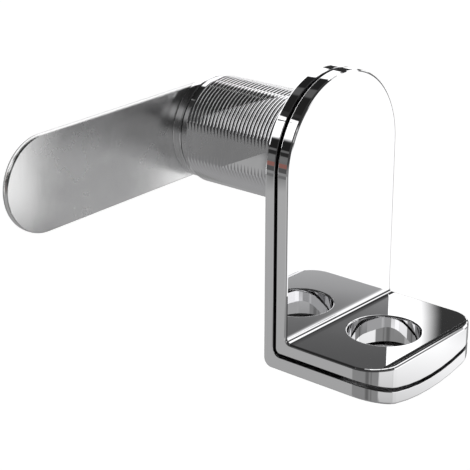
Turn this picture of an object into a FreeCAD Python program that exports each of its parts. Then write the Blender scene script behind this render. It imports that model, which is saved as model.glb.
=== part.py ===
import FreeCAD, Part
import math
import os
import Sketcher

# Padlockable locker lock: two nested hasps on a threaded barrel, with a quarter-turn spindle
# that carries a flat cam. Millimetres, +Z up, the front of the door looks along -Y.
# The origin lies on the barrel's axis, in the plane of the door's front face.

doc = FreeCAD.newDocument("locker_lock")

# Driving sizes: alias, value, what it is
driving_sizes = [
    ("HaspWidth", 28.2, "width of both hasps"),
    ("FacePlateThick", 2.0, "upright plate of the turning hasp"),
    ("BackPlateThick", 1.9, "upright plate of the fixed hasp"),
    ("HaspGap", 0.6, "running gap between the two hasps"),
    ("ShelfDrop", 26.7, "barrel axis down to the top of the padlock shelf"),
    ("ShelfReach", 17.8, "front of the face plate to the shelf's front edge"),
    ("ShelfEdgeThick", 2.15, "turning shelf at its two sides"),
    ("SwingClearance", 0.1, "turning shelf's corners over the middle of the fixed shelf"),
    ("BackShelfThick", 2.1, "curved shelf of the fixed hasp"),
    ("FrontCornerRadius", 5.0, "plan corners of both shelves"),
    ("BendRadius", 0.8, "outer bend of the turning hasp"),
    ("BackBendRadius", 1.4, "outer bend of the fixed hasp"),
    ("InsideFillet", 0.7, "fillet between face plate and shelf"),
    ("ShackleDia", 11.7, "padlock shackle hole through both shelves"),
    ("ShackleReach", 8.75, "front of the face plate to the shackle hole's axis"),
    ("ShackleChamfer", 0.3, "softened rim of the shackle hole"),
    ("ThreadDia", 18.0, "outside of the barrel's thread"),
    ("FlatDepth", 0.6, "each of the barrel's two flats below the thread's outside"),
    ("ThreadLength", 21.0, "threaded stretch behind the door's front face"),
    ("HeadOverhang", 1.5, "barrel head round the thread, sunk in the fixed hasp"),
    ("HeadThick", 0.9, "barrel head"),
    ("HeadClearance", 0.1, "round the barrel's head, all sides"),
    ("StemClearance", 0.1, "round the barrel's stem in the fixed hasp"),
    ("NoseDrop", 0.4, "plain end of the barrel below the thread's outside"),
    ("NoseLength", 1.3, "plain end of the barrel"),
    ("NoseChamfer", 0.2, "end chamfers of barrel and stop washer"),
    ("HubDia", 14.0, "hub behind the face plate, the front bearing"),
    ("HubLength", 8.8, "hub from the back of the face plate"),
    ("SpindleDia", 10.0, "spindle, the rear bearing"),
    ("RunningClearance", 0.06, "hub and spindle in the barrel, on the radius"),
    ("SquareSize", 7.0, "square ends of the spindle, across flats"),
    ("SquareClearance", 0.05, "each side of a square in its socket"),
    ("SocketDepth", 7.6, "square socket in the hub"),
    ("SocketEndGap", 0.1, "between the square's end and the socket's floor"),
    ("CrossPinDia", 2.0, "pin that locks the hub to the spindle"),
    ("CrossPinShort", 0.5, "cross pin's ends below the hub's skin"),
    ("CrossPinPlace", 2.2, "cross pin behind the door's front face"),
    ("PinClearance", 0.02, "pins in their holes, on the radius"),
    ("WasherSideGap", 0.2, "disc spring and thrust washer to spindle and bore, on the radius"),
    ("SpringThick", 0.4, "sheet of the disc spring"),
    ("SpringRise", 0.4, "cone height of the disc spring"),
    ("ThrustThick", 0.8, "nylon thrust washer"),
    ("StackPlay", 0.05, "play at each side of the disc spring"),
    ("SealPlace", 15.0, "middle of the spindle's sealing ring"),
    ("SealWidth", 1.7, "sealing ring along the spindle, squeezed"),
    ("SealDepth", 1.28, "sealing ring across, squeezed"),
    ("SealCorner", 0.4, "broken corners of the squeezed ring"),
    ("SealSideGap", 0.1, "ring to the walls of its groove"),
    ("SealBoreGap", 0.05, "ring to the barrel's bore"),
    ("StopGap", 0.1, "running gap between barrel and stop washer"),
    ("StopWasherThick", 1.6, "stop washer"),
    ("StopPinDia", 2.0, "pin in the barrel's end"),
    ("StopPinSink", 3.0, "stop pin inside the barrel"),
    ("StopPinReach", 1.0, "stop pin standing out of the barrel"),
    ("StopSlotDepth", 1.2, "quarter slot in the stop washer"),
    ("StopSlotClearance", 0.15, "round the stop pin in its slot"),
    ("QuarterTurn", 90.0, "turn from locked to open, degrees"),
    ("CamWidth", 15.5, "locking cam"),
    ("CamReach", 44.3, "barrel axis to the cam's tip"),
    ("CamThick", 1.5, "locking cam"),
    ("CamEdge", 0.2, "softened edges of the cam"),
    ("SpindleShort", 0.2, "spindle's end below the cam's back"),
    ("ScrewDia", 5.0, "cam screw"),
    ("ScrewClearance", 0.05, "cam screw in the spindle, on the radius"),
    ("ScrewLength", 12.0, "cam screw under its head"),
    ("ScrewHoleDepth", 13.0, "tapped hole in the spindle"),
    ("ScrewHeadFlats", 8.0, "hexagon head, across flats"),
    ("ScrewHeadThick", 3.5, "hexagon head"),
    ("ScrewHeadChamfer", 0.45, "drop of the head's chamfer at its corners"),
    ("CamWasherDia", 12.0, "flat washer on the cam"),
    ("CamWasherThick", 1.2, "flat washer on the cam"),
    ("LockWasherDia", 9.2, "split spring washer"),
    ("LockWasherThick", 1.2, "split spring washer"),
    ("LockWasherTurn", 348.0, "split spring washer, degrees of its ring"),
    ("ScrewWasherGap", 0.15, "washers round the screw, on the radius"),
]

# Places and sizes that follow from the driving ones
derived_sizes = [
    ("HalfWidth", "Sizes.HaspWidth / 2"),
    ("UnderSide", "-(Sizes.ShelfDrop + Sizes.ShelfEdgeThick)"),
    ("SwingRadius", "sqrt(Places.HalfWidth ^ 2 + Places.UnderSide ^ 2)"),
    ("UnderMid", "Sizes.HaspGap - Sizes.SwingClearance - Places.SwingRadius"),
    ("ShelfSag", "Places.UnderSide - Places.UnderMid"),
    ("UnderRadius", "(Places.HalfWidth ^ 2 + Places.ShelfSag ^ 2) / (2 * Places.ShelfSag)"),
    ("UnderCentre", "Places.UnderMid + Places.UnderRadius"),
    ("ShelfTop", "-Sizes.ShelfDrop"),
    ("BackTopRadius", "Places.UnderRadius + Sizes.HaspGap"),
    ("BackLowRadius", "Places.BackTopRadius + Sizes.BackShelfThick"),
    ("BackTopSide", "Places.UnderCentre - sqrt(Places.BackTopRadius ^ 2 - Places.HalfWidth ^ 2)"),
    ("BackLowSide", "Places.UnderCentre - sqrt(Places.BackLowRadius ^ 2 - Places.HalfWidth ^ 2)"),
    ("BackFront", "-Sizes.BackPlateThick"),
    ("FaceBack", "-(Sizes.BackPlateThick + Sizes.HaspGap)"),
    ("FaceFront", "Places.FaceBack - Sizes.FacePlateThick"),
    ("ShelfFront", "Places.FaceFront - Sizes.ShelfReach"),
    ("BackReach", "Places.BackFront - Places.ShelfFront"),
    ("ShackleAxis", "Places.FaceFront - Sizes.ShackleReach"),
    ("HeadBack", "Places.BackFront + Sizes.HeadThick"),
    ("NoseEnd", "Sizes.ThreadLength + Sizes.NoseLength"),
    ("HalfFlats", "Sizes.ThreadDia / 2 - Sizes.FlatDepth"),
    ("StemHoleRadius", "Sizes.ThreadDia / 2 + Sizes.StemClearance"),
    ("StemHoleHalf", "Places.HalfFlats + Sizes.StemClearance"),
    ("StemHoleChord", "sqrt(Places.StemHoleRadius ^ 2 - Places.StemHoleHalf ^ 2)"),
    ("HubEnd", "Places.FaceBack + Sizes.HubLength"),
    ("SocketFloor", "Places.HubEnd - Sizes.SocketDepth"),
    ("SquareFront", "Places.SocketFloor + Sizes.SocketEndGap"),
    ("HubBore", "Sizes.HubDia / 2 + Sizes.RunningClearance"),
    ("SpindleBore", "Sizes.SpindleDia / 2 + Sizes.RunningClearance"),
    ("SpringFront", "Places.HubEnd + Sizes.StackPlay"),
    ("SpringBack", "Places.SpringFront + Sizes.SpringRise + Sizes.SpringThick"),
    ("ThrustFront", "Places.SpringBack + Sizes.StackPlay"),
    ("BoreStep", "Places.ThrustFront + Sizes.ThrustThick"),
    ("SealOuter", "Places.SpindleBore - Sizes.SealBoreGap"),
    ("SealInner", "Places.SealOuter - Sizes.SealDepth"),
    ("GrooveFront", "Sizes.SealPlace - Sizes.SealWidth / 2 - Sizes.SealSideGap"),
    ("GrooveBack", "Sizes.SealPlace + Sizes.SealWidth / 2 + Sizes.SealSideGap"),
    ("StopFront", "Places.NoseEnd + Sizes.StopGap"),
    ("StopBack", "Places.StopFront + Sizes.StopWasherThick"),
    ("SlotHalf", "Sizes.StopPinDia / 2 + Sizes.StopSlotClearance"),
    ("CamBack", "Places.StopBack + Sizes.CamThick"),
    ("CamStraight", "Sizes.CamReach - Sizes.CamWidth / 2"),
    ("SpindleEnd", "Places.CamBack - Sizes.SpindleShort"),
    ("SocketSize", "Sizes.SquareSize + 2 * Sizes.SquareClearance"),
    ("CamWasherBack", "Places.CamBack + Sizes.CamWasherThick"),
    ("LockWasherBack", "Places.CamWasherBack + Sizes.LockWasherThick"),
    ("ScrewHeadBack", "Places.LockWasherBack + Sizes.ScrewHeadThick"),
    ("ScrewTip", "Places.LockWasherBack - Sizes.ScrewLength"),
    ("WasherHole", "Sizes.ScrewDia / 2 + Sizes.ScrewWasherGap"),
    ("SocketHalf", "Places.SocketSize / 2"),
    ("SquareHalf", "Sizes.SquareSize / 2"),
    ("CrossHole", "Sizes.CrossPinDia / 2 + Sizes.PinClearance"),
    ("StopHole", "Sizes.StopPinDia / 2 + Sizes.PinClearance"),
    ("StopPinBack", "Places.NoseEnd - Sizes.StopPinSink"),
    ("NestRadius", "Sizes.BendRadius + Sizes.HaspGap"),
    ("HeadRadius", "Sizes.ThreadDia / 2 + Sizes.HeadOverhang"),
    ("HeadSink", "Places.HeadRadius + Sizes.HeadClearance"),
    ("ThreadRadius", "Sizes.ThreadDia / 2"),
    ("NoseRadius", "Sizes.ThreadDia / 2 - Sizes.NoseDrop"),
    ("SpindleRadius", "Sizes.SpindleDia / 2"),
    ("FlatsLength", "Sizes.ThreadLength - Places.HeadBack"),
    ("WasherInner", "Places.SpindleRadius + Sizes.WasherSideGap"),
    ("WasherOuter", "Places.HubBore - Sizes.WasherSideGap"),
    ("StopPinRing", "(Places.SpindleBore + Places.NoseRadius) / 2"),
    ("CrossPinLength", "Sizes.HubDia - 2 * Sizes.CrossPinShort"),
    ("SpringOuterFront", "Places.SpringFront + Sizes.SpringRise"),
    ("SpringInnerBack", "Places.SpringFront + Sizes.SpringThick"),
    ("SealFront", "Sizes.SealPlace - Sizes.SealWidth / 2"),
    ("SealBack", "Sizes.SealPlace + Sizes.SealWidth / 2"),
    ("ScrewHole", "Sizes.ScrewDia / 2 + Sizes.ScrewClearance"),
    ("CamWasherRadius", "Sizes.CamWasherDia / 2"),
    ("LockWasherRadius", "Sizes.LockWasherDia / 2"),
    ("HeadFlatHalf", "Sizes.ScrewHeadFlats / 2"),
    ("HeadCorner", "Places.HeadFlatHalf / cos(30)"),
    ("HeadTrimFront", "Places.ScrewHeadBack - Sizes.ScrewHeadChamfer"),
]

sheet = doc.addObject("Spreadsheet::Sheet", "Sizes")
for row, (alias, number, meaning) in enumerate(driving_sizes, start=1):
    sheet.set(f"A{row}", meaning)
    sheet.set(f"B{row}", str(number))
    sheet.setAlias(f"B{row}", alias)
doc.recompute()

places = doc.addObject("App::VarSet", "Places")
for name, expression in derived_sizes:
    places.addProperty("App::PropertyFloat", name)
    places.setExpression(name, expression)
doc.recompute()

nodes = []
near = 1e-4  # two places closer than this are the same place


def value(name):
    # the number behind Sizes.Something or Places.Something
    owner, _, entry = name.partition(".")
    return float(sheet.get(entry)) if owner == "Sizes" else float(getattr(places, entry))


def new_body(label):
    body = doc.addObject("PartDesign::Body", label)
    body.Label = label
    nodes.append(body)
    return body


def new_sketch(body, name, plane, offset=None):
    # offset is an expression along the plane's normal, which is -Y for XZ
    sketch = body.newObject("Sketcher::SketchObject", name)
    origin = [item for item in body.Origin.OriginFeatures if item.Role == plane + "_Plane"][0]
    sketch.AttachmentSupport = [(origin, "")]
    sketch.MapMode = "FlatFace"
    if offset:
        sketch.setExpression("AttachmentOffset.Base.z", offset)
    return sketch


def bind(sketch, kind, arguments, expression, number):
    index = sketch.addConstraint(Sketcher.Constraint(kind, *arguments, number))
    sketch.setExpression(f"Constraints[{index}]", expression)


def fix_point(sketch, edge, end, across, up):
    # ties a point to the sketch's origin by two sizes, each None, or a name with an optional sign
    for kind, name in (("DistanceX", across), ("DistanceY", up)):
        if name is None:
            axis = -2 if kind == "DistanceX" else -1
            sketch.addConstraint(Sketcher.Constraint("PointOnObject", edge, end, axis))
            continue
        number = signed(name)
        if number < 0:
            bind(sketch, kind, (edge, end, -1, 1), f"-({name})", -number)
        else:
            bind(sketch, kind, (-1, 1, edge, end), name, number)


def signed(name):
    if name is None:
        return 0.0
    return -value(name[1:]) if name.startswith("-") else value(name)


def polygon(sketch, corners):
    # closed outline of straight edges through corners given as pairs of sizes
    points = [FreeCAD.Vector(signed(across), signed(up), 0) for across, up in corners]
    count = len(points)
    edges = [sketch.addGeometry(Part.LineSegment(points[i], points[(i + 1) % count]), False)
             for i in range(count)]
    for i, edge in enumerate(edges):
        sketch.addConstraint(Sketcher.Constraint("Coincident", edge, 2, edges[(i + 1) % count], 1))
        fix_point(sketch, edge, 1, *corners[i])
    return edges


def circle(sketch, radius, across=None, up=None):
    centre = FreeCAD.Vector(signed(across), signed(up), 0)
    edge = sketch.addGeometry(Part.Circle(centre, FreeCAD.Vector(0, 0, 1), value_of(radius)), False)
    bind(sketch, "Radius", (edge,), radius, value_of(radius))
    fix_point(sketch, edge, 3, across, up)
    return edge


def value_of(radius):
    # a size, or half a size written as "Sizes.Something / 2"
    name, _, half = radius.partition(" / ")
    return value(name) / float(half) if half else value(name)


def add_pad(body, name, sketch, length, towards_plus_y=True, middle=False):
    pad = body.newObject("PartDesign::Pad", name)
    pad.Profile = sketch
    pad.Reversed = towards_plus_y
    pad.Midplane = middle
    pad.setExpression("Length", length)
    doc.recompute()
    return pad


def add_pocket(body, name, sketch, length=None, flip=False, middle=False):
    before = body.Shape.Volume
    pocket = body.newObject("PartDesign::Pocket", name)
    pocket.Profile = sketch
    pocket.Reversed = flip
    pocket.Midplane = middle
    if length:
        pocket.setExpression("Length", length)
    else:
        pocket.Type = "ThroughAll"
    doc.recompute()
    if not body.Shape.Volume < before:
        raise RuntimeError(f"{name} cuts nothing")
    return pocket


def add_turned(body, name, corners, angle=None):
    # a ring about the barrel's axis, its section given as pairs of a place along Y and a radius
    sketch = new_sketch(body, name + "_section", "YZ")
    polygon(sketch, corners)
    turned = body.newObject("PartDesign::Revolution", name)
    turned.Profile = sketch
    turned.ReferenceAxis = (sketch, ["H_Axis"])
    if angle:
        turned.setExpression("Angle", angle)
    doc.recompute()
    return turned


def edges_where(feature, wanted):
    found = [f"Edge{i}" for i, edge in enumerate(feature.Shape.Edges, start=1) if wanted(edge)]
    if not found:
        raise RuntimeError(f"no edge found on {feature.Name}")
    return found


def add_fillet(body, name, feature, wanted, radius):
    fillet = body.newObject("PartDesign::Fillet", name)
    fillet.Base = (feature, edges_where(feature, wanted))
    fillet.setExpression("Radius", radius)
    doc.recompute()
    return fillet


def add_chamfer(body, name, feature, wanted, size):
    chamfer = body.newObject("PartDesign::Chamfer", name)
    chamfer.Base = (feature, edges_where(feature, wanted))
    chamfer.setExpression("Size", size)
    doc.recompute()
    return chamfer


def lies_at(edge, along_y=None, along_z=None):
    # true if the whole edge lies in the planes given by their places
    box = edge.BoundBox
    if along_y is not None and max(abs(box.YMin - along_y), abs(box.YMax - along_y)) > near:
        return False
    return along_z is None or max(abs(box.ZMin - along_z), abs(box.ZMax - along_z)) <= near


def upright(edge, along_y):
    # a straight vertical edge at one place along Y
    box = edge.BoundBox
    return lies_at(edge, along_y) and box.XLength < near and box.ZLength > near


def full_circle(edge, radius):
    curve = edge.Curve
    return isinstance(curve, Part.Circle) and abs(curve.Radius - radius) < near and edge.Closed


def hasp_outline(sketch, low_radius, low_side):
    # full-radius top on the barrel's axis, straight sides, shallow arc below
    half = value("Places.HalfWidth")
    low = value(low_side)
    centre = value("Places.UnderCentre")
    radius = value(low_radius)
    spread = math.asin(half / radius)
    plus_z = FreeCAD.Vector(0, 0, 1)
    top = sketch.addGeometry(Part.ArcOfCircle(
        Part.Circle(FreeCAD.Vector(0, 0, 0), plus_z, half), 0, math.pi), False)
    left = sketch.addGeometry(Part.LineSegment(
        FreeCAD.Vector(-half, 0, 0), FreeCAD.Vector(-half, low, 0)), False)
    base = sketch.addGeometry(Part.ArcOfCircle(
        Part.Circle(FreeCAD.Vector(0, centre, 0), plus_z, radius),
        -math.pi / 2 - spread, -math.pi / 2 + spread), False)
    right = sketch.addGeometry(Part.LineSegment(
        FreeCAD.Vector(half, low, 0), FreeCAD.Vector(half, 0, 0)), False)
    sketch.addConstraint([
        Sketcher.Constraint("Coincident", top, 3, -1, 1),
        Sketcher.Constraint("Tangent", top, 2, left, 1),
        Sketcher.Constraint("Tangent", top, 1, right, 2),
        Sketcher.Constraint("Coincident", left, 2, base, 1),
        Sketcher.Constraint("Coincident", right, 1, base, 2),
        Sketcher.Constraint("Vertical", left),
        Sketcher.Constraint("Vertical", right),
        Sketcher.Constraint("PointOnObject", base, 3, -2),
    ])
    bind(sketch, "Radius", (top,), "Places.HalfWidth", half)
    bind(sketch, "Radius", (base,), low_radius, radius)
    bind(sketch, "DistanceY", (-1, 1, base, 3), "Places.UnderCentre", centre)


def shelf_outline(sketch, low_radius, low_side, top_side, top_radius=None):
    # front view of a padlock shelf: flat or curved on top, curved below
    half = value("Places.HalfWidth")
    centre = value("Places.UnderCentre")
    low = value(low_side)
    high = value(top_side)
    plus_z = FreeCAD.Vector(0, 0, 1)

    def shallow_arc(radius):
        spread = math.asin(half / radius)
        return Part.ArcOfCircle(Part.Circle(FreeCAD.Vector(0, centre, 0), plus_z, radius),
                                -math.pi / 2 - spread, -math.pi / 2 + spread)

    left = sketch.addGeometry(Part.LineSegment(
        FreeCAD.Vector(-half, high, 0), FreeCAD.Vector(-half, low, 0)), False)
    base = sketch.addGeometry(shallow_arc(value(low_radius)), False)
    right = sketch.addGeometry(Part.LineSegment(
        FreeCAD.Vector(half, low, 0), FreeCAD.Vector(half, high, 0)), False)
    sketch.addConstraint([
        Sketcher.Constraint("Coincident", left, 2, base, 1),
        Sketcher.Constraint("Coincident", right, 1, base, 2),
        Sketcher.Constraint("Vertical", left),
        Sketcher.Constraint("Vertical", right),
        Sketcher.Constraint("PointOnObject", base, 3, -2),
    ])
    bind(sketch, "Radius", (base,), low_radius, value(low_radius))
    bind(sketch, "DistanceY", (-1, 1, base, 3), "Places.UnderCentre", centre)
    bind(sketch, "DistanceX", (left, 1, -1, 1), "Places.HalfWidth", half)
    bind(sketch, "DistanceX", (-1, 1, right, 2), "Places.HalfWidth", half)
    if top_radius:
        top = sketch.addGeometry(shallow_arc(value(top_radius)), False)
        sketch.addConstraint(Sketcher.Constraint("Coincident", top, 3, base, 3))
        sketch.addConstraint(Sketcher.Constraint("Coincident", top, 1, left, 1))
        sketch.addConstraint(Sketcher.Constraint("Coincident", top, 2, right, 2))
        bind(sketch, "Radius", (top,), top_radius, value(top_radius))
    else:
        top = sketch.addGeometry(Part.LineSegment(
            FreeCAD.Vector(half, high, 0), FreeCAD.Vector(-half, high, 0)), False)
        sketch.addConstraint(Sketcher.Constraint("Coincident", right, 2, top, 1))
        sketch.addConstraint(Sketcher.Constraint("Coincident", top, 2, left, 1))
        sketch.addConstraint(Sketcher.Constraint("Horizontal", top))
        bind(sketch, "DistanceY", (left, 1, -1, 1), f"-({top_side})", -high)


def square(sketch, half):
    polygon(sketch, [(half, half), ("-" + half, half), ("-" + half, "-" + half), (half, "-" + half)])


def double_d(sketch):
    # hole for the barrel's stem: a circle with two flats
    radius = value("Places.StemHoleRadius")
    half = value("Places.StemHoleHalf")
    chord = value("Places.StemHoleChord")
    angle = math.atan2(chord, half)
    plus_z = FreeCAD.Vector(0, 0, 1)
    ring = Part.Circle(FreeCAD.Vector(0, 0, 0), plus_z, radius)
    top = sketch.addGeometry(Part.ArcOfCircle(ring, angle, math.pi - angle), False)
    left = sketch.addGeometry(Part.LineSegment(
        FreeCAD.Vector(-half, chord, 0), FreeCAD.Vector(-half, -chord, 0)), False)
    base = sketch.addGeometry(Part.ArcOfCircle(ring, math.pi + angle, 2 * math.pi - angle), False)
    right = sketch.addGeometry(Part.LineSegment(
        FreeCAD.Vector(half, -chord, 0), FreeCAD.Vector(half, chord, 0)), False)
    sketch.addConstraint([
        Sketcher.Constraint("Coincident", top, 3, -1, 1),
        Sketcher.Constraint("Coincident", base, 3, -1, 1),
        Sketcher.Constraint("Coincident", top, 2, left, 1),
        Sketcher.Constraint("Coincident", left, 2, base, 1),
        Sketcher.Constraint("Coincident", base, 2, right, 1),
        Sketcher.Constraint("Coincident", right, 2, top, 1),
        Sketcher.Constraint("Vertical", left),
        Sketcher.Constraint("Vertical", right),
        Sketcher.Constraint("Equal", top, base),
    ])
    bind(sketch, "Radius", (top,), "Places.StemHoleRadius", radius)
    bind(sketch, "DistanceX", (-1, 1, right, 1), "Places.StemHoleHalf", half)
    bind(sketch, "DistanceX", (left, 1, -1, 1), "Places.StemHoleHalf", half)


# Turning hasp: polished L casting that the user turns, with its hub behind
turning_hasp = new_body("turning_hasp")
face_sketch = new_sketch(turning_hasp, "face_outline", "XZ", "-Places.FaceFront")
hasp_outline(face_sketch, "Places.UnderRadius", "Places.UnderSide")
add_pad(turning_hasp, "face_plate", face_sketch, "Sizes.FacePlateThick")
shelf_sketch = new_sketch(turning_hasp, "shelf_front_view", "XZ", "-Places.FaceFront")
shelf_outline(shelf_sketch, "Places.UnderRadius", "Places.UnderSide", "Places.ShelfTop")
shelf = add_pad(turning_hasp, "padlock_shelf", shelf_sketch, "Sizes.ShelfReach", towards_plus_y=False)
face_front = value("Places.FaceFront")
face_back = value("Places.FaceBack")
shelf_front = value("Places.ShelfFront")
shelf_top = value("Places.ShelfTop")
corners = add_fillet(turning_hasp, "shelf_corners", shelf,
                     lambda edge: upright(edge, shelf_front), "Sizes.FrontCornerRadius")
inside = add_fillet(turning_hasp, "inside_fillet", corners,
                    lambda edge: lies_at(edge, face_front, shelf_top), "Sizes.InsideFillet")


def low_back_edge(edge, along_y):
    # the arc along the bottom of a hasp's back
    return lies_at(edge, along_y) and edge.BoundBox.ZMax < shelf_top and edge.BoundBox.XLength > near


bend = add_fillet(turning_hasp, "outer_bend", inside,
                  lambda edge: low_back_edge(edge, face_back), "Sizes.BendRadius")
hub_sketch = new_sketch(turning_hasp, "hub_circle", "XZ", "-Places.FaceBack")
circle(hub_sketch, "Sizes.HubDia / 2")
add_pad(turning_hasp, "hub", hub_sketch, "Sizes.HubLength")
socket_sketch = new_sketch(turning_hasp, "socket_square", "XZ", "-Places.HubEnd")
square(socket_sketch, "Places.SocketHalf")
add_pocket(turning_hasp, "square_socket", socket_sketch, "Sizes.SocketDepth", flip=True)
cross_sketch = new_sketch(turning_hasp, "cross_hole_circle", "XY")
circle(cross_sketch, "Places.CrossHole", None, "Sizes.CrossPinPlace")
add_pocket(turning_hasp, "cross_hole", cross_sketch, "2 * Sizes.HubDia", middle=True)
shackle_sketch = new_sketch(turning_hasp, "shackle_circle", "XY", "Places.ShelfTop")
circle(shackle_sketch, "Sizes.ShackleDia / 2", None, "Places.ShackleAxis")
shackle = add_pocket(turning_hasp, "shackle_hole", shackle_sketch)
shackle_radius = value_of("Sizes.ShackleDia / 2")
add_chamfer(turning_hasp, "shackle_rim", shackle,
            lambda edge: full_circle(edge, shackle_radius), "Sizes.ShackleChamfer")

# Fixed hasp: the same outline behind and below, clamped by the barrel's head
fixed_hasp = new_body("fixed_hasp")
plate_sketch = new_sketch(fixed_hasp, "plate_outline", "XZ", "-Places.BackFront")
hasp_outline(plate_sketch, "Places.BackLowRadius", "Places.BackLowSide")
add_pad(fixed_hasp, "back_plate", plate_sketch, "Sizes.BackPlateThick")
band_sketch = new_sketch(fixed_hasp, "shelf_front_view_fixed", "XZ", "-Places.BackFront")
shelf_outline(band_sketch, "Places.BackLowRadius", "Places.BackLowSide", "Places.BackTopSide",
              "Places.BackTopRadius")
band = add_pad(fixed_hasp, "curved_shelf", band_sketch, "Places.BackReach", towards_plus_y=False)
band_corners = add_fillet(fixed_hasp, "shelf_corners_fixed", band,
                          lambda edge: upright(edge, shelf_front), "Sizes.FrontCornerRadius")
back_front = value("Places.BackFront")
nest = add_fillet(fixed_hasp, "nest_fillet", band_corners,
                  lambda edge: low_back_edge(edge, back_front), "Places.NestRadius")
back_bend = add_fillet(fixed_hasp, "outer_bend_fixed", nest,
                       lambda edge: low_back_edge(edge, 0.0), "Sizes.BackBendRadius")
stem_sketch = new_sketch(fixed_hasp, "stem_outline", "XZ", "-Places.BackFront")
double_d(stem_sketch)
add_pocket(fixed_hasp, "stem_hole", stem_sketch, "2 * Sizes.BackPlateThick", flip=False)
sink_sketch = new_sketch(fixed_hasp, "head_circle", "XZ", "-Places.BackFront")
circle(sink_sketch, "Places.HeadSink")
add_pocket(fixed_hasp, "head_sink", sink_sketch, "Sizes.HeadThick", flip=False)
lower_sketch = new_sketch(fixed_hasp, "shackle_circle_fixed", "XY", "Places.ShelfTop")
circle(lower_sketch, "Sizes.ShackleDia / 2", None, "Places.ShackleAxis")
add_pocket(fixed_hasp, "shackle_hole_fixed", lower_sketch)

# Threaded barrel: head sunk in the fixed hasp, two flats, two bearings inside
threaded_barrel = new_body("threaded_barrel")
add_turned(threaded_barrel, "barrel_turned", [
    ("Places.BackFront", "Places.HubBore"),
    ("Places.BackFront", "Places.HeadRadius"),
    ("Places.HeadBack", "Places.HeadRadius"),
    ("Places.HeadBack", "Places.ThreadRadius"),
    ("Sizes.ThreadLength", "Places.ThreadRadius"),
    ("Sizes.ThreadLength", "Places.NoseRadius"),
    ("Places.NoseEnd", "Places.NoseRadius"),
    ("Places.NoseEnd", "Places.SpindleBore"),
    ("Places.BoreStep", "Places.SpindleBore"),
    ("Places.BoreStep", "Places.HubBore"),
])
flats_sketch = new_sketch(threaded_barrel, "flats_outline", "XZ", "-Sizes.ThreadLength")
polygon(flats_sketch, [("Places.HalfFlats", "Sizes.ThreadDia"), ("Sizes.ThreadDia", "Sizes.ThreadDia"),
                       ("Sizes.ThreadDia", "-Sizes.ThreadDia"), ("Places.HalfFlats", "-Sizes.ThreadDia")])
polygon(flats_sketch, [("-Places.HalfFlats", "Sizes.ThreadDia"), ("-Sizes.ThreadDia", "Sizes.ThreadDia"),
                       ("-Sizes.ThreadDia", "-Sizes.ThreadDia"), ("-Places.HalfFlats", "-Sizes.ThreadDia")])
add_pocket(threaded_barrel, "two_flats", flats_sketch, "Places.FlatsLength", flip=True)
pin_hole_sketch = new_sketch(threaded_barrel, "stop_hole_circle", "XZ", "-Places.NoseEnd")
circle(pin_hole_sketch, "Places.StopHole", None, "Places.StopPinRing")
pin_hole = add_pocket(threaded_barrel, "stop_hole", pin_hole_sketch, "Sizes.StopPinSink", flip=True)
nose_radius = value("Places.NoseRadius")
nose_end = value("Places.NoseEnd")
add_chamfer(threaded_barrel, "nose_chamfer", pin_hole,
            lambda edge: full_circle(edge, nose_radius) and lies_at(edge, nose_end),
            "Sizes.NoseChamfer")

# Stop pin: pressed into the barrel's end, stands in the stop washer's slot
stop_pin = new_body("stop_pin")
stop_pin_sketch = new_sketch(stop_pin, "stop_pin_circle", "XZ", "-Places.StopPinBack")
circle(stop_pin_sketch, "Sizes.StopPinDia / 2", None, "Places.StopPinRing")
add_pad(stop_pin, "stop_pin_rod", stop_pin_sketch, "Sizes.StopPinSink + Sizes.StopPinReach")

# Nylon thrust washer on the barrel's inner step, and the disc spring that drags on it
thrust_washer = new_body("thrust_washer")
add_turned(thrust_washer, "thrust_ring", [
    ("Places.ThrustFront", "Places.WasherInner"),
    ("Places.ThrustFront", "Places.WasherOuter"),
    ("Places.BoreStep", "Places.WasherOuter"),
    ("Places.BoreStep", "Places.WasherInner"),
])
disc_spring = new_body("disc_spring")
add_turned(disc_spring, "spring_cone", [
    ("Places.SpringFront", "Places.WasherInner"),
    ("Places.SpringOuterFront", "Places.WasherOuter"),
    ("Places.SpringBack", "Places.WasherOuter"),
    ("Places.SpringInnerBack", "Places.WasherInner"),
])

# Spindle: square in the hub, round in the barrel with a seal groove, square for the cam
spindle = new_body("spindle")
add_turned(spindle, "spindle_turned", [
    ("Places.HubEnd", None),
    ("Places.HubEnd", "Places.SpindleRadius"),
    ("Places.GrooveFront", "Places.SpindleRadius"),
    ("Places.GrooveFront", "Places.SealInner"),
    ("Places.GrooveBack", "Places.SealInner"),
    ("Places.GrooveBack", "Places.SpindleRadius"),
    ("Places.StopFront", "Places.SpindleRadius"),
    ("Places.StopFront", None),
])
front_square = new_sketch(spindle, "front_square", "XZ", "-Places.SquareFront")
square(front_square, "Places.SquareHalf")
add_pad(spindle, "hub_square", front_square, "Places.HubEnd - Places.SquareFront")
rear_square = new_sketch(spindle, "rear_square", "XZ", "-Places.StopFront")
square(rear_square, "Places.SquareHalf")
add_pad(spindle, "cam_square", rear_square, "Places.SpindleEnd - Places.StopFront")
screw_hole = new_sketch(spindle, "screw_hole_circle", "XZ", "-Places.SpindleEnd")
circle(screw_hole, "Places.ScrewHole")
add_pocket(spindle, "screw_hole", screw_hole, "Sizes.ScrewHoleDepth", flip=True)
cross_bore = new_sketch(spindle, "cross_bore_circle", "XY")
circle(cross_bore, "Places.CrossHole", None, "Sizes.CrossPinPlace")
add_pocket(spindle, "cross_bore", cross_bore, "2 * Sizes.HubDia", middle=True)

# Cross pin: locks the spindle's square in the hub
spindle_pin = new_body("spindle_pin")
cross_pin_sketch = new_sketch(spindle_pin, "cross_pin_circle", "XY")
circle(cross_pin_sketch, "Sizes.CrossPinDia / 2", None, "Sizes.CrossPinPlace")
add_pad(spindle_pin, "cross_pin_rod", cross_pin_sketch, "Places.CrossPinLength",
        towards_plus_y=False, middle=True)

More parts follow.
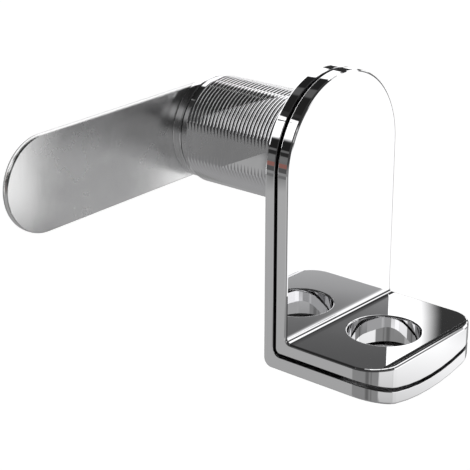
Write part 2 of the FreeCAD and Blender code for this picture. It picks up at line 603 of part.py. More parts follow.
# Sealing ring, drawn as it sits squeezed between groove and bore
spindle_seal = new_body("spindle_seal")
seal = add_turned(spindle_seal, "seal_ring", [
    ("Places.SealFront", "Places.SealInner"),
    ("Places.SealFront", "Places.SealOuter"),
    ("Places.SealBack", "Places.SealOuter"),
    ("Places.SealBack", "Places.SealInner"),
])
add_chamfer(spindle_seal, "seal_corners", seal, lambda edge: edge.Closed, "Sizes.SealCorner")

# Stop washer: turns with the cam, its blind quarter slot runs over the stop pin
stop_washer = new_body("stop_washer")
stop_sketch = new_sketch(stop_washer, "stop_circle", "XZ", "-Places.StopFront")
circle(stop_sketch, "Places.NoseRadius")
stop_ring = add_pad(stop_washer, "stop_ring", stop_sketch, "Sizes.StopWasherThick")
stop_back = value("Places.StopBack")
stop_front = value("Places.StopFront")
add_chamfer(stop_washer, "stop_chamfer", stop_ring,
            lambda edge: full_circle(edge, nose_radius), "Sizes.NoseChamfer")
stop_socket = new_sketch(stop_washer, "stop_square", "XZ", "-Places.StopFront")
square(stop_socket, "Places.SocketHalf")
add_pocket(stop_washer, "stop_socket", stop_socket, "2 * Sizes.StopWasherThick", flip=False)
slot_sketch = new_sketch(stop_washer, "quarter_slot_outline", "XZ", "-Places.StopFront")


def quarter_slot(sketch):
    # slot round the axis: at rest the stop pin stands at its upper end
    ring = value("Places.StopPinRing")
    half = value("Places.SlotHalf")
    turn = math.radians(value("Sizes.QuarterTurn"))
    start = math.pi / 2 - turn
    plus_z = FreeCAD.Vector(0, 0, 1)
    origin = FreeCAD.Vector(0, 0, 0)
    low_end = FreeCAD.Vector(ring * math.cos(start), ring * math.sin(start), 0)
    high_end = FreeCAD.Vector(0, ring, 0)
    outer = sketch.addGeometry(Part.ArcOfCircle(
        Part.Circle(origin, plus_z, ring + half), start, math.pi / 2), False)
    high = sketch.addGeometry(Part.ArcOfCircle(
        Part.Circle(high_end, plus_z, half), math.pi / 2, 3 * math.pi / 2), False)
    inner = sketch.addGeometry(Part.ArcOfCircle(
        Part.Circle(origin, plus_z, ring - half), start, math.pi / 2), False)
    low = sketch.addGeometry(Part.ArcOfCircle(
        Part.Circle(low_end, plus_z, half), start - math.pi, start), False)
    ray = sketch.addGeometry(Part.LineSegment(origin, low_end), True)
    sketch.addConstraint([
        Sketcher.Constraint("Coincident", outer, 3, -1, 1),
        Sketcher.Constraint("Coincident", inner, 3, -1, 1),
        Sketcher.Constraint("Coincident", ray, 1, -1, 1),
        Sketcher.Constraint("Coincident", ray, 2, low, 3),
        Sketcher.Constraint("PointOnObject", high, 3, -2),
        Sketcher.Constraint("Tangent", outer, 2, high, 1),
        Sketcher.Constraint("Tangent", high, 2, inner, 2),
        Sketcher.Constraint("Tangent", inner, 1, low, 1),
        Sketcher.Constraint("Tangent", low, 2, outer, 1),
    ])
    bind(sketch, "DistanceY", (-1, 1, high, 3), "Places.StopPinRing", ring)
    bind(sketch, "Radius", (high,), "Places.SlotHalf", half)
    bind(sketch, "Angle", (-1, 1, ray, 1), "90 - Sizes.QuarterTurn", start)


quarter_slot(slot_sketch)
add_pocket(stop_washer, "quarter_slot", slot_sketch, "Sizes.StopSlotDepth", flip=False)

# Locking cam: flat bar with full-round ends, square hole on the barrel's axis
locking_cam = new_body("locking_cam")
cam_sketch = new_sketch(locking_cam, "cam_outline", "XZ", "-Places.StopBack")


def bar_outline(sketch):
    half = value_of("Sizes.CamWidth / 2")
    reach = value("Places.CamStraight")
    plus_z = FreeCAD.Vector(0, 0, 1)
    root = sketch.addGeometry(Part.ArcOfCircle(
        Part.Circle(FreeCAD.Vector(0, 0, 0), plus_z, half), -math.pi / 2, math.pi / 2), False)
    top = sketch.addGeometry(Part.LineSegment(
        FreeCAD.Vector(0, half, 0), FreeCAD.Vector(-reach, half, 0)), False)
    tip = sketch.addGeometry(Part.ArcOfCircle(
        Part.Circle(FreeCAD.Vector(-reach, 0, 0), plus_z, half), math.pi / 2, 3 * math.pi / 2), False)
    base = sketch.addGeometry(Part.LineSegment(
        FreeCAD.Vector(-reach, -half, 0), FreeCAD.Vector(0, -half, 0)), False)
    sketch.addConstraint([
        Sketcher.Constraint("Coincident", root, 3, -1, 1),
        Sketcher.Constraint("Tangent", root, 2, top, 1),
        Sketcher.Constraint("Tangent", top, 2, tip, 1),
        Sketcher.Constraint("Tangent", tip, 2, base, 1),
        Sketcher.Constraint("Tangent", base, 2, root, 1),
        Sketcher.Constraint("PointOnObject", tip, 3, -1),
        Sketcher.Constraint("Equal", root, tip),
    ])
    bind(sketch, "Radius", (root,), "Sizes.CamWidth / 2", half)
    bind(sketch, "DistanceX", (tip, 3, -1, 1), "Places.CamStraight", reach)


bar_outline(cam_sketch)
cam_bar = add_pad(locking_cam, "cam_bar", cam_sketch, "Sizes.CamThick")
cam_back = value("Places.CamBack")
add_chamfer(locking_cam, "cam_edges", cam_bar,
            lambda edge: lies_at(edge, stop_back) or lies_at(edge, cam_back), "Sizes.CamEdge")
cam_socket = new_sketch(locking_cam, "cam_square_hole", "XZ", "-Places.StopBack")
square(cam_socket, "Places.SocketHalf")
add_pocket(locking_cam, "cam_socket", cam_socket, "2 * Sizes.CamThick", flip=False)

# Flat washer and split spring washer under the screw's head
cam_washer = new_body("cam_washer")
add_turned(cam_washer, "flat_ring", [
    ("Places.CamBack", "Places.WasherHole"),
    ("Places.CamBack", "Places.CamWasherRadius"),
    ("Places.CamWasherBack", "Places.CamWasherRadius"),
    ("Places.CamWasherBack", "Places.WasherHole"),
])
lock_washer = new_body("lock_washer")
add_turned(lock_washer, "split_ring", [
    ("Places.CamWasherBack", "Places.WasherHole"),
    ("Places.CamWasherBack", "Places.LockWasherRadius"),
    ("Places.LockWasherBack", "Places.LockWasherRadius"),
    ("Places.LockWasherBack", "Places.WasherHole"),
], "Sizes.LockWasherTurn")

# Cam screw: hexagon head with a turned chamfer
cam_screw = new_body("cam_screw")
head_sketch = new_sketch(cam_screw, "hexagon", "XZ", "-Places.LockWasherBack")


def hexagon(sketch):
    corner = value("Places.HeadCorner")
    points = [FreeCAD.Vector(corner * math.cos(math.radians(60 * i)),
                             corner * math.sin(math.radians(60 * i)), 0) for i in range(6)]
    edges = [sketch.addGeometry(Part.LineSegment(points[i], points[(i + 1) % 6]), False)
             for i in range(6)]
    guide = sketch.addGeometry(Part.Circle(
        FreeCAD.Vector(0, 0, 0), FreeCAD.Vector(0, 0, 1), corner), True)
    sketch.addConstraint(Sketcher.Constraint("Coincident", guide, 3, -1, 1))
    for i, edge in enumerate(edges):
        sketch.addConstraint(Sketcher.Constraint("Coincident", edge, 2, edges[(i + 1) % 6], 1))
        sketch.addConstraint(Sketcher.Constraint("PointOnObject", edge, 1, guide))
        if i:
            sketch.addConstraint(Sketcher.Constraint("Equal", edges[0], edge))
    sketch.addConstraint(Sketcher.Constraint("PointOnObject", edges[0], 1, -1))
    bind(sketch, "Radius", (guide,), "Places.HeadCorner", corner)


hexagon(head_sketch)
add_pad(cam_screw, "screw_head", head_sketch, "Sizes.ScrewHeadThick")
trim_sketch = new_sketch(cam_screw, "head_trim_section", "YZ")
polygon(trim_sketch, [("Places.ScrewHeadBack", "Places.HeadFlatHalf"),
                      ("Places.ScrewHeadBack", "Places.HeadCorner"),
                      ("Places.HeadTrimFront", "Places.HeadCorner")])
head_trim = cam_screw.newObject("PartDesign::Groove", "head_chamfer")
head_trim.Profile = trim_sketch
head_trim.ReferenceAxis = (trim_sketch, ["H_Axis"])
doc.recompute()
shank_sketch = new_sketch(cam_screw, "shank_circle", "XZ", "-Places.ScrewTip")
circle(shank_sketch, "Sizes.ScrewDia / 2")
add_pad(cam_screw, "screw_shank", shank_sketch, "Sizes.ScrewLength")

doc.recompute()
for item in doc.Objects:
    if "Invalid" in item.State or "Error" in item.State:
        raise RuntimeError(f"{item.Name} failed: {item.State}")
for node in nodes:
    if node.Shape.isNull() or not node.Shape.isValid() or len(node.Shape.Solids) != 1:
        raise RuntimeError(f"{node.Label} is not one valid solid")

os.makedirs("parts", exist_ok=True)
for node in nodes:
    node.Shape.exportStep(f"parts/{node.Label}.step")
    box = node.Shape.BoundBox
    print(f"{node.Label:16s} {node.Shape.Volume:9.2f} mm3  "
          f"x {box.XMin:7.2f} {box.XMax:7.2f}  y {box.YMin:7.2f} {box.YMax:7.2f}  "
          f"z {box.ZMin:7.2f} {box.ZMax:7.2f}")
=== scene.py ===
import bpy
import bmesh
import math
from mathutils import Matrix, Vector


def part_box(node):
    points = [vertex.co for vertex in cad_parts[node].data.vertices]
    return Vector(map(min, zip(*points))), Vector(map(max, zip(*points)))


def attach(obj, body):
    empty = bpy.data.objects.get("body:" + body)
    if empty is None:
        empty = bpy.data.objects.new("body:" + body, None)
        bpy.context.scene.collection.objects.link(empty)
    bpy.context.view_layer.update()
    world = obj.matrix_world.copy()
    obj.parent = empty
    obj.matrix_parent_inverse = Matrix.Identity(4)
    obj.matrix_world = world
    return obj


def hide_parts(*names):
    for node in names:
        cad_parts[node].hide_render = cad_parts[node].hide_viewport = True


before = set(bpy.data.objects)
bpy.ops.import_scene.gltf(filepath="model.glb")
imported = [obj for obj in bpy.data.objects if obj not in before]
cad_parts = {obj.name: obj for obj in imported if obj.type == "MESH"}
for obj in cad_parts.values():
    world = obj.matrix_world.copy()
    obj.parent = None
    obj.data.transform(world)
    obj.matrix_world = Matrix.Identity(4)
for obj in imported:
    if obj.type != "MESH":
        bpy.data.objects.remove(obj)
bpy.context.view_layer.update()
print("frame loaded")

scene = bpy.context.scene
scene.view_settings.view_transform = "Standard"
mm = 0.001  # meshes are shaped in millimetres and brought to metres at the end


def nodeBox(node):  # a CAD node's corners in millimetres
    low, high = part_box(node)
    return low / mm, high / mm


# materials


def newMaterial(name):
    material = bpy.data.materials.new(name)
    material.use_nodes = True
    tree = material.node_tree
    shader = tree.nodes["Principled BSDF"]
    return material, tree, shader


def addNode(tree, kind, inputs=None, **settings):
    node = tree.nodes.new(kind)
    for name, entry in settings.items():
        setattr(node, name, entry)
    for name, entry in (inputs or {}).items():
        node.inputs[name].default_value = entry
    return node


def chromeMaterial(name, tone, roughness, waviness):
    # bright chrome plate: a mirror with faint polishing marks and a very slight waviness
    material, tree, shader = newMaterial(name)
    shader.inputs["Metallic"].default_value = 1.0
    shader.inputs["Base Color"].default_value = (*tone, 1.0)
    place = addNode(tree, "ShaderNodeTexCoord")
    marks = addNode(tree, "ShaderNodeTexNoise", {"Scale": 900.0, "Detail": 4.0, "Roughness": 0.6})
    tree.links.new(place.outputs["Object"], marks.inputs["Vector"])
    spread = addNode(tree, "ShaderNodeMapRange", {"From Min": 0.35, "From Max": 0.75,
                                                  "To Min": roughness * 0.7, "To Max": roughness * 1.5})
    tree.links.new(marks.outputs["Fac"], spread.inputs["Value"])
    tree.links.new(spread.outputs["Result"], shader.inputs["Roughness"])
    wave = addNode(tree, "ShaderNodeTexNoise", {"Scale": 110.0, "Detail": 1.0})
    tree.links.new(place.outputs["Object"], wave.inputs["Vector"])
    bump = addNode(tree, "ShaderNodeBump", {"Strength": waviness, "Distance": 0.00002})
    tree.links.new(wave.outputs["Fac"], bump.inputs["Height"])
    tree.links.new(bump.outputs["Normal"], shader.inputs["Normal"])
    return material


def camMaterial():
    # rolled steel under bright plate: blurred reflections, a fine upright grain, a faint mottle and painted
    # shade along its upper half
    material, tree, shader = newMaterial("platedCamSteel")
    shader.inputs["Metallic"].default_value = 1.0
    place = addNode(tree, "ShaderNodeTexCoord")
    grainMap = addNode(tree, "ShaderNodeMapping", {"Scale": (2600.0, 2600.0, 160.0)})
    tree.links.new(place.outputs["Object"], grainMap.inputs["Vector"])
    grain = addNode(tree, "ShaderNodeTexNoise", {"Scale": 1.0, "Detail": 3.0, "Roughness": 0.55})
    tree.links.new(grainMap.outputs["Vector"], grain.inputs["Vector"])
    cloud = addNode(tree, "ShaderNodeTexNoise", {"Scale": 140.0, "Detail": 4.0, "Roughness": 0.6})
    tree.links.new(place.outputs["Object"], cloud.inputs["Vector"])
    tone = addNode(tree, "ShaderNodeMapRange", {"From Min": 0.3, "From Max": 0.7,
                                                "To Min": 0.84, "To Max": 0.92})
    tree.links.new(cloud.outputs["Fac"], tone.inputs["Value"])
    # painted shade: the base colour is darkened along the upper half, away from the tip, standing in for the
    # dark barrel and hasps reflected there
    parts = addNode(tree, "ShaderNodeSeparateXYZ")
    tree.links.new(place.outputs["Object"], parts.inputs["Vector"])
    upperShade = addNode(tree, "ShaderNodeMapRange", {"From Min": 0.0, "From Max": 0.0055, "To Max": 0.14})
    tree.links.new(parts.outputs["Z"], upperShade.inputs["Value"])
    shadeAwayFromTip = addNode(tree, "ShaderNodeMapRange", {"From Min": -0.044, "From Max": -0.034})
    tree.links.new(parts.outputs["X"], shadeAwayFromTip.inputs["Value"])
    paintedShade = addNode(tree, "ShaderNodeMath", operation="MULTIPLY")
    tree.links.new(upperShade.outputs["Result"], paintedShade.inputs[0])
    tree.links.new(shadeAwayFromTip.outputs["Result"], paintedShade.inputs[1])
    toneWithShade = addNode(tree, "ShaderNodeMath", operation="SUBTRACT")
    tree.links.new(tone.outputs["Result"], toneWithShade.inputs[0])
    tree.links.new(paintedShade.outputs[0], toneWithShade.inputs[1])
    colour = addNode(tree, "ShaderNodeCombineColor")
    for channel in ("Red", "Green", "Blue"):
        tree.links.new(toneWithShade.outputs[0], colour.inputs[channel])
    tree.links.new(colour.outputs["Color"], shader.inputs["Base Color"])
    rough = addNode(tree, "ShaderNodeMapRange", {"From Min": 0.3, "From Max": 0.7,
                                                 "To Min": 0.20, "To Max": 0.30})
    tree.links.new(cloud.outputs["Fac"], rough.inputs["Value"])
    tree.links.new(rough.outputs["Result"], shader.inputs["Roughness"])
    bump = addNode(tree, "ShaderNodeBump", {"Strength": 0.35, "Distance": 0.00001})
    tree.links.new(grain.outputs["Fac"], bump.inputs["Height"])
    tree.links.new(bump.outputs["Normal"], shader.inputs["Normal"])
    return material


def steelMaterial(name, tone, roughness):
    # satin metal: the small turned parts and the cam's unpolished roll; also the hasps' unpolished faces
    # inside the gap between them, where its darker tone is painted shade
    material, tree, shader = newMaterial(name)
    shader.inputs["Metallic"].default_value = 1.0
    shader.inputs["Base Color"].default_value = (*tone, 1.0)
    place = addNode(tree, "ShaderNodeTexCoord")
    marks = addNode(tree, "ShaderNodeTexNoise", {"Scale": 1500.0, "Detail": 3.0})
    tree.links.new(place.outputs["Object"], marks.inputs["Vector"])
    spread = addNode(tree, "ShaderNodeMapRange", {"From Min": 0.3, "From Max": 0.7,
                                                  "To Min": roughness * 0.75, "To Max": roughness * 1.3})
    tree.links.new(marks.outputs["Fac"], spread.inputs["Value"])
    tree.links.new(spread.outputs["Result"], shader.inputs["Roughness"])
    return material


def softMaterial(name, tone, roughness):
    # nylon and rubber: dull, with a faint moulded mottle
    material, tree, shader = newMaterial(name)
    shader.inputs["Roughness"].default_value = roughness
    place = addNode(tree, "ShaderNodeTexCoord")
    mottle = addNode(tree, "ShaderNodeTexNoise", {"Scale": 700.0, "Detail": 3.0})
    tree.links.new(place.outputs["Object"], mottle.inputs["Vector"])
    darker = [part * 0.9 for part in tone]
    mix = addNode(tree, "ShaderNodeMixRGB", {"Color1": (*darker, 1.0), "Color2": (*tone, 1.0)})
    tree.links.new(mottle.outputs["Fac"], mix.inputs["Fac"])
    tree.links.new(mix.outputs["Color"], shader.inputs["Base Color"])
    return material


haspChrome = chromeMaterial("haspChrome", (0.93, 0.93, 0.94), 0.02, 0.05)
# unpolished satin plate, darkened as painted shade for the narrow gap between the hasps
gapShadePlate = steelMaterial("gapShadePlate", (0.42, 0.42, 0.43), 0.35)
barrelChrome = chromeMaterial("barrelChrome", (0.90, 0.90, 0.91), 0.03, 0.05)
camSteel = camMaterial()
washerSteel = steelMaterial("washerSteel", (0.72, 0.72, 0.73), 0.22)
camRollSteel = steelMaterial("camRollSteel", (0.30, 0.30, 0.30), 0.4)
screwSteel = steelMaterial("screwSteel", (0.76, 0.76, 0.77), 0.18)
turnedSteel = steelMaterial("turnedSteel", (0.66, 0.66, 0.67), 0.25)
springSteel = steelMaterial("springSteel", (0.42, 0.42, 0.43), 0.3)
nylon = softMaterial("naturalNylon", (0.80, 0.79, 0.73), 0.5)
blackRubber = softMaterial("blackRubber", (0.02, 0.02, 0.02), 0.6)

nodeFinishes = {"stop_pin": turnedSteel, "thrust_washer": nylon, "disc_spring": springSteel,
                "spindle": turnedSteel, "spindle_pin": turnedSteel, "spindle_seal": blackRubber}
for node, material in nodeFinishes.items():
    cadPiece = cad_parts[node]
    cadPiece.data.materials.clear()
    cadPiece.data.materials.append(material)
print("materials made")


# mesh helpers


def finishPiece(bm, name, material, body, node, sharpAngle=30.0, picked=None, pickedMaterial=None):
    # millimetres to metres, outward normals, smooth faces between sharp edges;
    # the faces for which picked is true get the other finish
    bmesh.ops.remove_doubles(bm, verts=bm.verts[:], dist=1e-5)
    bmesh.ops.recalc_face_normals(bm, faces=bm.faces[:])
    bm.normal_update()
    for face in bm.faces:
        face.smooth = True
        face.material_index = 1 if picked and picked(face) else 0
    bmesh.ops.scale(bm, vec=(mm, mm, mm), verts=bm.verts[:])
    for edge in bm.edges:
        edge.smooth = edge.calc_face_angle(math.pi) < math.radians(sharpAngle)
    mesh = bpy.data.meshes.new(name)
    bm.to_mesh(mesh)
    bm.free()
    piece = bpy.data.objects.new(name, mesh)
    scene.collection.objects.link(piece)
    mesh.materials.append(material)
    if picked:
        mesh.materials.append(pickedMaterial)
    weighted = piece.modifiers.new("flatNormals", "WEIGHTED_NORMAL")
    weighted.keep_sharp = True
    weighted.weight = 100
    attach(piece, body)
    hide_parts(node)
    print("made", name, len(mesh.polygons))
    return piece


def openEdges(bm):
    return [edge for edge in bm.edges if len(edge.link_faces) == 1]


def facesFacing(bm, direction, place, tolerance=1e-3):
    # flat faces looking along direction, at that distance along it
    along = Vector(direction)
    return [face for face in bm.faces if face.normal.dot(along) > 0.999
            and abs(face.calc_center_median().dot(along) - place) < tolerance]


def sameY(verts, place, tolerance=1e-3):
    return all(abs(vert.co.y - place) < tolerance for vert in verts)


def allParts(bm):
    return bm.verts[:] + bm.edges[:] + bm.faces[:]


def vertsOf(faces):
    return list(dict.fromkeys(vert for face in faces for vert in face.verts))


def withParts(faces):
    return vertsOf(faces) + list(dict.fromkeys(edge for face in faces for edge in face.edges)) + list(faces)


def sliceAt(bm, parts, point, across, trim=False, snap=1e-5):
    # cuts parts by the plane through point; with trim, what lies beyond it goes
    bmesh.ops.bisect_plane(bm, geom=parts, dist=snap, plane_co=point, plane_no=across, clear_outer=trim)


def flattenPlanes(bm):
    # joins faces that lie in one plane
    bmesh.ops.dissolve_limit(bm, angle_limit=math.radians(0.1), verts=bm.verts[:], edges=bm.edges[:],
                             use_dissolve_boundaries=False, delimit=set())


def roundEdges(bm, edges, radius, segments):
    bmesh.ops.bevel(bm, geom=edges, offset=radius, offset_type="OFFSET", segments=segments, profile=0.5,
                    affect="EDGES", material=-1, clamp_overlap=False, loop_slide=True)


def sharpEdges(bm, angle=40.0, wanted=None):
    # edges between faces that turn by more than angle, in degrees
    return [edge for edge in bm.edges
            if len(edge.link_faces) == 2 and edge.calc_face_angle(0.0) > math.radians(angle)
            and (wanted is None or wanted(edge))]


def lathe(corners, steps=96, ring=True):
    # turns (along Y, radius) corners round the barrel's axis, in millimetres: a ring from a closed outline,
    # or a solid from an open one that starts and ends on the axis
    bm = bmesh.new()
    verts = [bm.verts.new((radius, along, 0.0)) for along, radius in corners]
    count = len(verts) if ring else len(verts) - 1
    edges = [bm.edges.new((verts[i], verts[(i + 1) % len(verts)])) for i in range(count)]
    bmesh.ops.spin(bm, geom=verts + edges, cent=(0, 0, 0), axis=(0, 1, 0), angle=2 * math.pi,
                   steps=steps, use_merge=True, use_duplicate=False)
    bmesh.ops.remove_doubles(bm, verts=bm.verts[:], dist=1e-4)
    bmesh.ops.recalc_face_normals(bm, faces=bm.faces[:])
    return bm


def cutWith(bm, cutter, operation="DIFFERENCE"):
    # exact boolean between two closed meshes, both given back as one bmesh
    holders = []
    for source in (bm, cutter):
        mesh = bpy.data.meshes.new("holder")
        source.to_mesh(mesh)
        source.free()
        holder = bpy.data.objects.new("holder", mesh)
        scene.collection.objects.link(holder)
        holders.append(holder)
    change = holders[0].modifiers.new("change", "BOOLEAN")
    change.object = holders[1]
    change.operation = operation
    change.solver = "EXACT"
    depsgraph = bpy.context.evaluated_depsgraph_get()
    result = bpy.data.meshes.new_from_object(holders[0].evaluated_get(depsgraph))
    made = bmesh.new()
    made.from_mesh(result)
    for holder in holders:
        mesh = holder.data
        bpy.data.objects.remove(holder)
        bpy.data.meshes.remove(mesh)
    bpy.data.meshes.remove(result)
    return made


# the two hasps

haspLow, haspHigh = nodeBox("turning_hasp")
fixedLow, fixedHigh = nodeBox("fixed_hasp")
haspSizes = {
    "halfWidth": haspHigh.x, "shelfFront": haspLow.y, "shelfTop": -26.7,
    "faceFront": -4.5, "faceBack": -2.5, "backFront": -1.9, "backBack": 0.0, "gap": 0.6,
    "underMid": haspLow.z, "underSide": -28.85, "fixedMid": fixedLow.z,
    "cornerRadius": 5.0, "cornerSteps": 12,
    "insideFillet": 0.7, "bend": 0.8, "fixedBend": 1.4, "bendSteps": 8,
    # strips of (width, lean in degrees): the shelf's worn front, the plate's foot, the shelf's foot
    "rollOff": [(0.6, 10.0), (0.6, 4.0)],
    "blend": [(0.15, 6.0), (0.35, 2.0)],
    "sweep": [(0.3, 8.0), (0.5, 3.0)],
    "showRim": 0.35, "gapRim": 0.12, "rimSteps": 3, "columns": 6, "topSteps": 96, "sharpAngle": 14.0,
    "shackleRadius": 5.85, "shackleReach": 8.75, "shackleRim": 0.3, "shackleRimSteps": 8,
    "fixedRimDrop": 0.2,
    "hubRadius": 7.0, "hubEnd": haspHigh.y, "hubOverlap": 0.5, "headRadius": 10.6, "headDepth": 0.9,
    "stemRadius": 9.1, "stemFlat": 8.5,
}


def concentricArc(across, drop):
    # the turning hasp's underside moved outwards by drop
    half = haspSizes["halfWidth"]
    sag = haspSizes["underSide"] - haspSizes["underMid"]
    radius = (half ** 2 + sag ** 2) / (2 * sag)
    centre = haspSizes["underMid"] + radius
    return centre - math.sqrt((radius + drop) ** 2 - across ** 2)


def buffShelf(bm, plateFront):
    # polishing wears the shelf's front edge down and leaves both sides of the inside corner a little fuller
    s = haspSizes
    up = (0, 0, 1)
    front = s["shelfFront"]
    top = s["shelfTop"]
    foot = plateFront - s["insideFillet"]
    place = front
    for width, _ in s["rollOff"]:
        place += width
        sliceAt(bm, withParts(facesFacing(bm, up, top)), (0, place, 0), (0, 1, 0))
    place = top + s["insideFillet"]
    for width, _ in s["blend"]:
        place += width
        sliceAt(bm, withParts(facesFacing(bm, (0, -1, 0), -plateFront)), (0, 0, place), up)
    place = foot
    for width, _ in s["sweep"]:
        place -= width
        sliceAt(bm, withParts(facesFacing(bm, up, top)), (0, place, 0), (0, 1, 0))
    shelf = vertsOf(facesFacing(bm, up, top))
    for vert in vertsOf(facesFacing(bm, (0, -1, 0), -plateFront)):
        vert.co.y -= leanAt(vert.co.z - top - s["insideFillet"], s["blend"])
    for vert in shelf:
        vert.co.z += leanAt(foot - vert.co.y, s["sweep"]) - leanAt(vert.co.y - front, s["rollOff"])
    bm.normal_update()


def leanAt(distance, strips):
    # offset at a distance from an edge, from the leans of the strips between there and the flat
    offset = 0.0
    begin = 0.0
    for width, lean in strips:
        inside = begin + width - max(distance, begin)
        offset += min(max(inside, 0.0), width) * math.tan(math.radians(lean))
        begin += width
    return offset


def buildHasp(plateFront, plateBack, topAt, lowAt, insideRadius, bendRadius, buffed):
    # shelf drawn from above, pulled down, its back strip pulled up into the plate, then rounded off;
    # topAt and lowAt give the shelf's heights across its width
    s = haspSizes
    half = s["halfWidth"]
    front = s["shelfFront"]
    bm = bmesh.new()
    corners = [(-half, plateBack), (-half, front), (half, front), (half, plateBack)]
    verts = [bm.verts.new((x, y, 0.0)) for x, y in corners]
    bm.faces.new(verts)
    rounded = [vert for vert in verts if vert.co.y == front]
    bmesh.ops.bevel(bm, geom=rounded, offset=s["cornerRadius"], offset_type="OFFSET",
                    segments=s["cornerSteps"], profile=0.5, affect="VERTICES", material=-1)
    pulled = bmesh.ops.extrude_face_region(bm, geom=bm.faces[:], use_keep_orig=True)
    lower = [item for item in pulled["geom"] if isinstance(item, bmesh.types.BMVert)]
    bmesh.ops.translate(bm, verts=lower, vec=(0, 0, -1.0))
    bmesh.ops.recalc_face_normals(bm, faces=bm.faces[:])
    straight = half - s["cornerRadius"]
    halfway = half - s["cornerRadius"] * (1 - math.cos(math.radians(45)))
    cuts = [straight * (2 * i / s["columns"] - 1) for i in range(s["columns"] + 1)] + [-halfway, halfway]
    for x in cuts:
        sliceAt(bm, allParts(bm), (x, 0, 0), (1, 0, 0), snap=1e-4)
    for vert in bm.verts:
        vert.co.z = lowAt(vert.co.x) if vert.co.z < -0.5 else topAt(vert.co.x)
    bm.normal_update()
    flattenPlanes(bm)
    # back strip of the top, pulled up to the barrel's axis
    top = [face for face in bm.faces if face.normal.z > 0.7]
    sliceAt(bm, withParts(top), (0, plateFront, 0), (0, 1, 0), snap=1e-4)
    bm.normal_update()
    back = [face for face in bm.faces if face.normal.z > 0.7 and face.calc_center_median().y > plateFront]
    raised = bmesh.ops.extrude_face_region(bm, geom=back)
    bmesh.ops.delete(bm, geom=back, context="FACES")
    for vert in raised["geom"]:
        if isinstance(vert, bmesh.types.BMVert):
            vert.co.z = 0.0
    bm.normal_update()
    flattenPlanes(bm)
    # the plate's top is sliced upright and lifted to its full radius
    crown = facesFacing(bm, (0, 0, 1), 0.0)
    for i in range(1, s["topSteps"]):
        x = half * math.cos(math.pi * i / s["topSteps"])
        sliceAt(bm, withParts(crown), (x, 0, 0), (1, 0, 0), snap=1e-6)
        crown = [face for face in bm.faces if all(abs(vert.co.z) < 1e-6 for vert in face.verts)]
    for vert in bm.verts:
        if abs(vert.co.z) < 1e-6:
            vert.co.z = math.sqrt(max(half ** 2 - vert.co.x ** 2, 0.0))
    bm.normal_update()
    if buffed:
        buffShelf(bm, plateFront)
    inside = sharpEdges(bm, 30, lambda edge: not edge.is_convex)
    roundEdges(bm, inside, insideRadius, s["bendSteps"])
    bm.normal_update()
    outside = sharpEdges(bm, 30, lambda edge: sameY(edge.verts, plateBack)
                         and max(vert.co.z for vert in edge.verts) < topAt(half) + 0.05
                         and edge.verts[0].co.x != edge.verts[1].co.x)
    roundEdges(bm, outside, bendRadius, s["bendSteps"])
    bm.normal_update()
    return bm


def edgeChains(edges):
    # sorts edges into runs that hang together, always in the same order
    left = dict.fromkeys(edges)
    chains = []
    while left:
        chain = [left.popitem()[0]]
        for edge in chain:
            for vert in edge.verts:
                for near in vert.link_edges:
                    if near in left:
                        del left[near]
                        chain.append(near)
        chains.append(chain)
    return chains


def roundRims(bm, gapSide):
    # both outlines of the bent plate are softened, the one at the gap between the hasps less
    for chain in edgeChains(sharpEdges(bm)):
        top = max((vert for edge in chain for vert in edge.verts), key=lambda vert: vert.co.z)
        radius = haspSizes["gapRim"] if abs(top.co.y - gapSide) < 0.2 else haspSizes["showRim"]
        roundEdges(bm, chain, radius, haspSizes["rimSteps"])
    bm.normal_update()
    return bm


def shackleCutter(top, bottom, past=2.0, around=96):
    # round upright cutter from past the bottom to past the top, flared at the top for a softened rim
    s = haspSizes
    rim = s["shackleRim"]
    steps = s["shackleRimSteps"]
    arc = [(top - rim + rim * math.sin(math.pi / 2 * i / steps),
            s["shackleRadius"] + rim - rim * math.cos(math.pi / 2 * i / steps)) for i in range(steps + 1)]
    corners = [(bottom - past, 0.0), (bottom - past, s["shackleRadius"])] + arc
    corners += [(top + past, arc[-1][1] + past), (top + past, 0.0)]
    bm = bmesh.new()
    verts = [bm.verts.new((radius, 0.0, height)) for height, radius in corners]
    edges = [bm.edges.new((verts[i], verts[i + 1])) for i in range(len(verts) - 1)]
    bmesh.ops.spin(bm, geom=verts + edges, cent=(0, 0, 0), axis=(0, 0, 1), angle=2 * math.pi,
                   steps=around, use_merge=True, use_duplicate=False)
    bmesh.ops.remove_doubles(bm, verts=bm.verts[:], dist=1e-4)
    bmesh.ops.translate(bm, verts=bm.verts[:], vec=(0, s["faceFront"] - s["shackleReach"], 0))
    bmesh.ops.recalc_face_normals(bm, faces=bm.faces[:])
    return bm


def rod(radius, start, end, steps=96):
    # closed cylinder along Y
    bm = bmesh.new()
    bmesh.ops.create_cone(bm, cap_ends=True, segments=steps, radius1=radius, radius2=radius,
                          depth=end - start)
    bmesh.ops.rotate(bm, verts=bm.verts[:], cent=(0, 0, 0), matrix=Matrix.Rotation(math.pi / 2, 3, "X"))
    bmesh.ops.translate(bm, verts=bm.verts[:], vec=(0, (start + end) / 2, 0))
    bmesh.ops.recalc_face_normals(bm, faces=bm.faces[:])
    return bm


def trimSides(bm, half):
    # cuts two flats square to X
    for side in (-1, 1):
        sliceAt(bm, allParts(bm), (side * half, 0, 0), (side, 0, 0), trim=True)
        bmesh.ops.holes_fill(bm, edges=openEdges(bm), sides=0)
    bmesh.ops.recalc_face_normals(bm, faces=bm.faces[:])
    return bm


